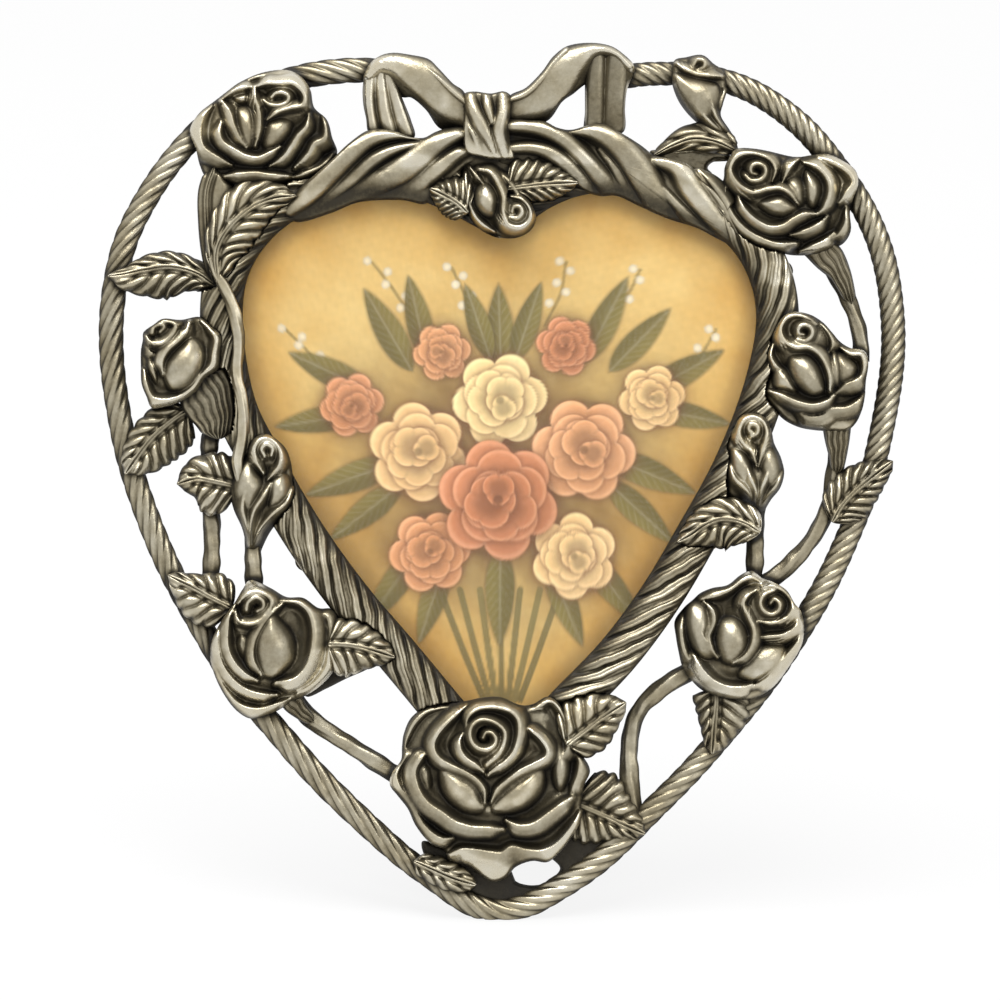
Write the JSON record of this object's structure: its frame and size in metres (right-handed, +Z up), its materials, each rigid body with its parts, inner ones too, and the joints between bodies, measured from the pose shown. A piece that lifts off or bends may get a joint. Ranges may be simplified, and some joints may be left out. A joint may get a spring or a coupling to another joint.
{
  "type": "picture frame",
  "caption": "Heart shaped openwork photo frame of cast metal, with rope border, ribbon bow and roses round a heart window, glass, back board and folding easel strut.",
  "frame": {"origin": "middle of the footprint, on the surface the frame stands on", "axes": "+Z up, X across the frame, the picture faces -Y and the frame leans back 15 degrees towards +Y"},
  "size_m": [0.0788, 0.0306, 0.0838],
  "materials": {
    "pewter": "antiqued pewter, satin, brown patina in the recesses",
    "glass": "clear, polished",
    "print": "satin photographic print",
    "card": "matte",
    "board": "matte",
    "velvet": "short pile velvet",
    "strut_board": "board covered with black velvet",
    "brass": "satin, slightly tarnished"
  },
  "bodies": {
    "frame": {"back_board": "board", "board_rivets": "brass", "bow_knot": "pewter", "bow_loop_left": "pewter", "bow_loop_right": "pewter", "bud_left": "pewter", "bud_right": "pewter", "bud_top_center": "pewter", "bud_top_right": "pewter", "button_rivets": "brass", "filler_card": "card", "glass_pane": "glass", "heart_bezel": "pewter", "hinge_leaf_fixed": "brass", "hinge_pin": "brass", "leaf_bottom_right_lower": "pewter", "leaf_bottom_right_upper": "pewter", "leaf_bow_left": "pewter", "leaf_bow_right": "pewter", "leaf_left_bud": "pewter", "leaf_left_fluted": "pewter", "leaf_left_rope": "pewter", "leaf_lower_left": "pewter", "leaf_lower_left_inner": "pewter", "leaf_lower_right": "pewter", "leaf_right_inner": "pewter", "leaf_right_rope": "pewter", "leaf_tip_left": "pewter", "leaf_top_left": "pewter", "leaf_top_left_back": "pewter", "leaf_top_right": "pewter", "leaf_upper_left": "pewter", "outer_rope": "pewter", "picture_print": "print", "ribbon_swag_left": "pewter", "ribbon_swag_right": "pewter", "rose_bottom": "pewter", "rose_left": "pewter", "rose_lower_left": "pewter", "rose_lower_right": "pewter", "rose_right": "pewter", "rose_top_left": "pewter", "rose_top_right": "pewter", "stems_left": "pewter", "stems_lower_left": "pewter", "stems_lower_right": "pewter", "stems_right": "pewter", "velvet_lining": "velvet"},
    "easel": {"easel_strut": "strut_board", "hinge_leaf_moving": "brass", "strut_rivets": "brass"},
    "turn_button_1": {"turn_button_1": "brass"},
    "turn_button_2": {"turn_button_2": "brass"},
    "turn_button_3": {"turn_button_3": "brass"},
    "turn_button_4": {"turn_button_4": "brass"}
  },
  "joints": [
    {"name": "easel_hinge", "type": "hinge", "parent": "frame", "child": "easel", "pos_m": [-0.00099, 0.00333, 0.04899], "axis": [1, 0, 0], "range_deg": [-27, 0]},
    {"name": "turn_button_1_pivot", "type": "hinge", "parent": "frame", "child": "turn_button_1", "pos_m": [-0.0274, 0.00524, 0.06192], "axis": [0, -0.9659, 0.2588], "range_deg": [-90, 90]},
    {"name": "turn_button_2_pivot", "type": "hinge", "parent": "frame", "child": "turn_button_2", "pos_m": [0.02703, 0.00496, 0.06086], "axis": [0, -0.9659, 0.2588], "range_deg": [-90, 90]},
    {"name": "turn_button_3_pivot", "type": "hinge", "parent": "frame", "child": "turn_button_3", "pos_m": [-0.01886, -0.00229, 0.03382], "axis": [0, -0.9659, 0.2588], "range_deg": [-90, 90]},
    {"name": "turn_button_4_pivot", "type": "hinge", "parent": "frame", "child": "turn_button_4", "pos_m": [0.01995, -0.00175, 0.03582], "axis": [0, -0.9659, 0.2588], "range_deg": [-90, 90]}
  ]
}
